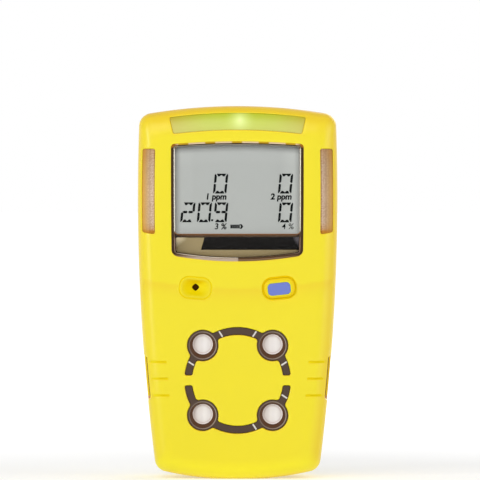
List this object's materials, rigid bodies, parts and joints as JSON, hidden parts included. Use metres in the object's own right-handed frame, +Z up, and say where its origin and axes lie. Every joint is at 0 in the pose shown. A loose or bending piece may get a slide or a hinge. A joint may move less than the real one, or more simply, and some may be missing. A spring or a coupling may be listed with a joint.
{
  "type": "portable gas detector",
  "caption": "Hand-held multi-gas detector: rounded yellow case, display window, alarm lights, one button, buzzer port, sensor ports and a spring clip on the back.",
  "frame": {"origin": "middle of the foot's plane, under the middle of the bounding box, clip included", "axes": "+Z up, the front with the display faces -Y, +X to the viewer's right"},
  "size_m": [0.0604, 0.0386, 0.1127],
  "materials": {
    "yellow_case": "fine satin grain",
    "yellow_button": "satin",
    "blue_pad": "matt",
    "dark_lip": "satin",
    "clear_window": "clear, glossy",
    "gold_panel": "gold print with a dark stripe",
    "dark_frame": "matt",
    "display_glass": "grey reflective display",
    "diffuser": "milky",
    "silicone_grey": "matt",
    "green_lens": "translucent, lit from behind",
    "amber_lens": "translucent",
    "lamp": "milky",
    "black_plastic": "matt",
    "white_plastic": "matt",
    "bezel_brown": "satin",
    "white_filter": "matt porous membrane",
    "black_rubber": "matt",
    "sensor_can": "semi-gloss",
    "circuit_board": "solder mask",
    "contact_gold": "polished",
    "steel": "brushed",
    "screw_steel": "plain",
    "cell_foil": "printed foil",
    "foam": "open-cell foam",
    "wire_red": "smooth",
    "infrared_red": "dark tinted",
    "label_grey": "matt film"
  },
  "bodies": {
    "case": {"front_shell": "yellow_case", "rear_shell": "yellow_case", "shell_gasket": "silicone_grey", "case_screws": "screw_steel", "window_gasket": "dark_lip", "display_window": "clear_window", "name_panel": "gold_panel", "lcd_frame": "dark_frame", "lcd_panel": "display_glass", "lcd_backlight": "diffuser", "zebra_strip": "silicone_grey", "top_alarm_lens": "green_lens", "left_alarm_lens": "amber_lens", "right_alarm_lens": "amber_lens", "top_alarm_leds": "lamp", "side_alarm_leds": "lamp", "button_seal": "silicone_grey", "switch_housing": "black_plastic", "buzzer_capsule": "black_plastic", "buzzer_membrane": "white_filter", "buzzer_gasket": "foam", "upper_sensor_bezel": "bezel_brown", "lower_sensor_bezel": "bezel_brown", "sensor_filters": "white_filter", "sensor_gaskets": "black_rubber", "sensor_upper_left": "sensor_can", "sensor_upper_right": "sensor_can", "sensor_lower_left": "sensor_can", "sensor_lower_right": "sensor_can", "sensor_sockets": "contact_gold", "display_board": "circuit_board", "display_board_chips": "black_plastic", "sensor_board": "circuit_board", "sensor_board_chips": "black_plastic", "board_header": "black_plastic", "board_screws": "screw_steel", "battery_pack": "cell_foil", "battery_pad": "foam", "battery_plug": "white_plastic", "battery_lead": "wire_red", "motor_bracket": "black_plastic", "vibrator_motor": "steel", "charge_block": "black_plastic", "charge_contacts": "contact_gold", "ir_window": "infrared_red", "rear_label": "label_grey", "clip_base": "steel", "clip_pin": "screw_steel", "clip_spring": "screw_steel", "clip_screws": "screw_steel"},
    "clip": {"clip_lever": "steel"},
    "button": {"button_cap": "yellow_button", "button_pad": "blue_pad"},
    "plunger": {"switch_plunger": "white_plastic"},
    "vibrator": {"vibrator_shaft": "steel", "vibrator_weight": "screw_steel"}
  },
  "joints": [
    {"name": "clip_hinge", "type": "hinge", "parent": "case", "child": "clip", "pos_m": [0, 0.0153, 0.086], "axis": [1, 0, 0], "range_deg": [0, 24], "stiffness_Nm_per_rad": 0.2, "springref_deg": -20.05, "deforming": ["clip_spring"]},
    {"name": "button_press", "type": "slide", "parent": "case", "child": "button", "axis": [0, 1, 0], "range_m": [0, 0.0006], "stiffness_N_per_m": 2500},
    {"name": "plunger_slide", "type": "slide", "parent": "case", "child": "plunger", "axis": [0, 1, 0], "range_m": [0, 0.0006]},
    {"name": "vibrator_spin", "type": "hinge", "parent": "case", "child": "vibrator", "pos_m": [-0.0227, 0.0023, 0.08], "axis": [0, 0, 1], "continuous": true}
  ],
  "couplings": [
    {"joint": "plunger_slide", "follows": "button_press", "ratio": 1}
  ]
}
